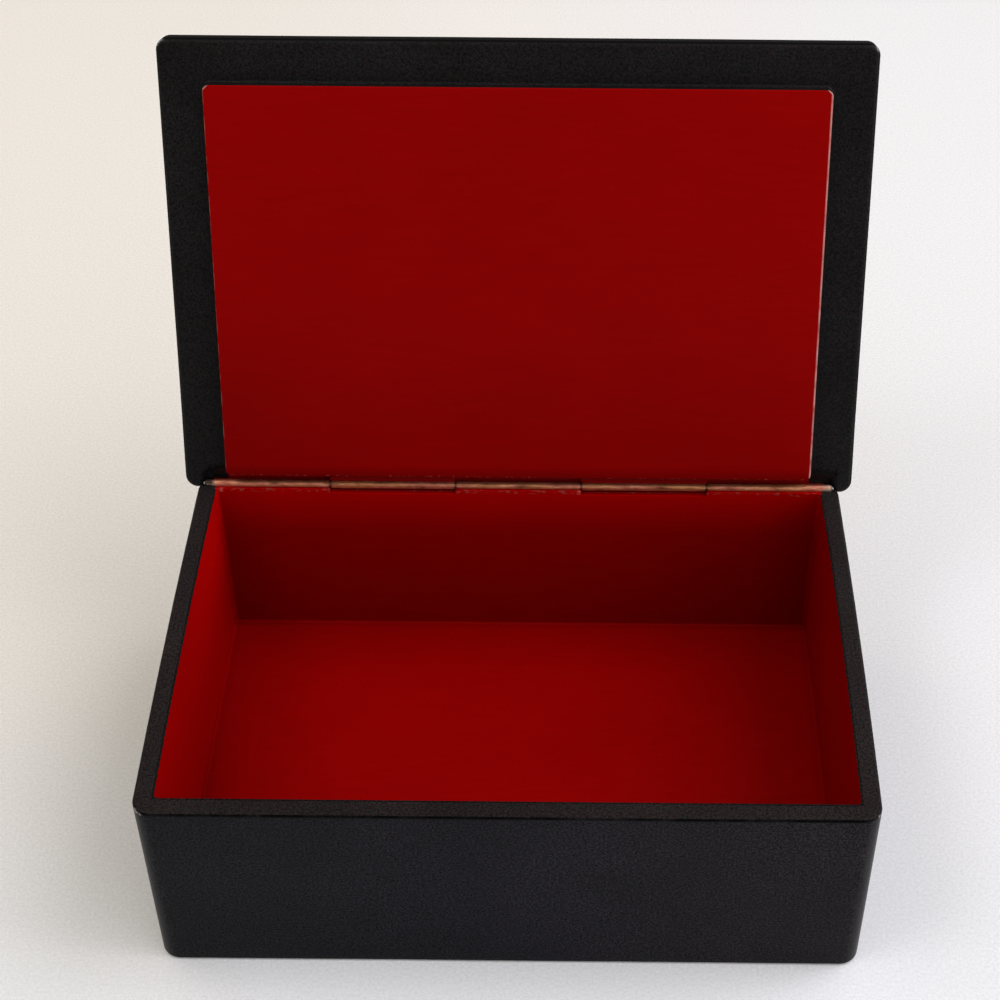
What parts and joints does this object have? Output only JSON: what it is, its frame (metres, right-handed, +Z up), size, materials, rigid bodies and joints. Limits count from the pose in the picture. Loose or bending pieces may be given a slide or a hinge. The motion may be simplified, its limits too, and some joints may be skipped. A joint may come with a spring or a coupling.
{
  "type": "lacquer box",
  "caption": "Oblong black lacquer box, red inside, with a hinged lid whose raised panel drops into the well; it holds small things.",
  "frame": {"origin": "middle of the flat underside, level with the surface that the box stands on", "axes": "+X to the right along the hinge, seen from the front; +Y to the back, where the hinge is; +Z up"},
  "size_m": [0.1668, 0.148, 0.1552],
  "materials": {
    "black_lacquer": "satin",
    "red_lacquer": "satin",
    "hinge_brass": "satin",
    "pin_steel": "satin"
  },
  "bodies": {
    "box": {"body_wall": "black_lacquer", "bottom_board": "black_lacquer", "well_lining": "red_lacquer", "base_knuckle_left": "hinge_brass", "base_knuckle_middle": "hinge_brass", "base_knuckle_right": "hinge_brass", "hinge_pin": "pin_steel", "base_hinge_strip": "hinge_brass", "base_strip_pins": "pin_steel"},
    "lid": {"lid_board": "black_lacquer", "lid_panel": "black_lacquer", "lid_panel_lining": "red_lacquer", "lid_knuckle_left": "hinge_brass", "lid_knuckle_right": "hinge_brass", "lid_hinge_strip": "hinge_brass", "lid_strip_pins": "pin_steel"}
  },
  "joints": [
    {"name": "lid_hinge", "type": "hinge", "parent": "box", "child": "lid", "pos_m": [0, 0.0514, 0.0526], "axis": [1, 0, 0], "range_deg": [0, 110]}
  ]
}
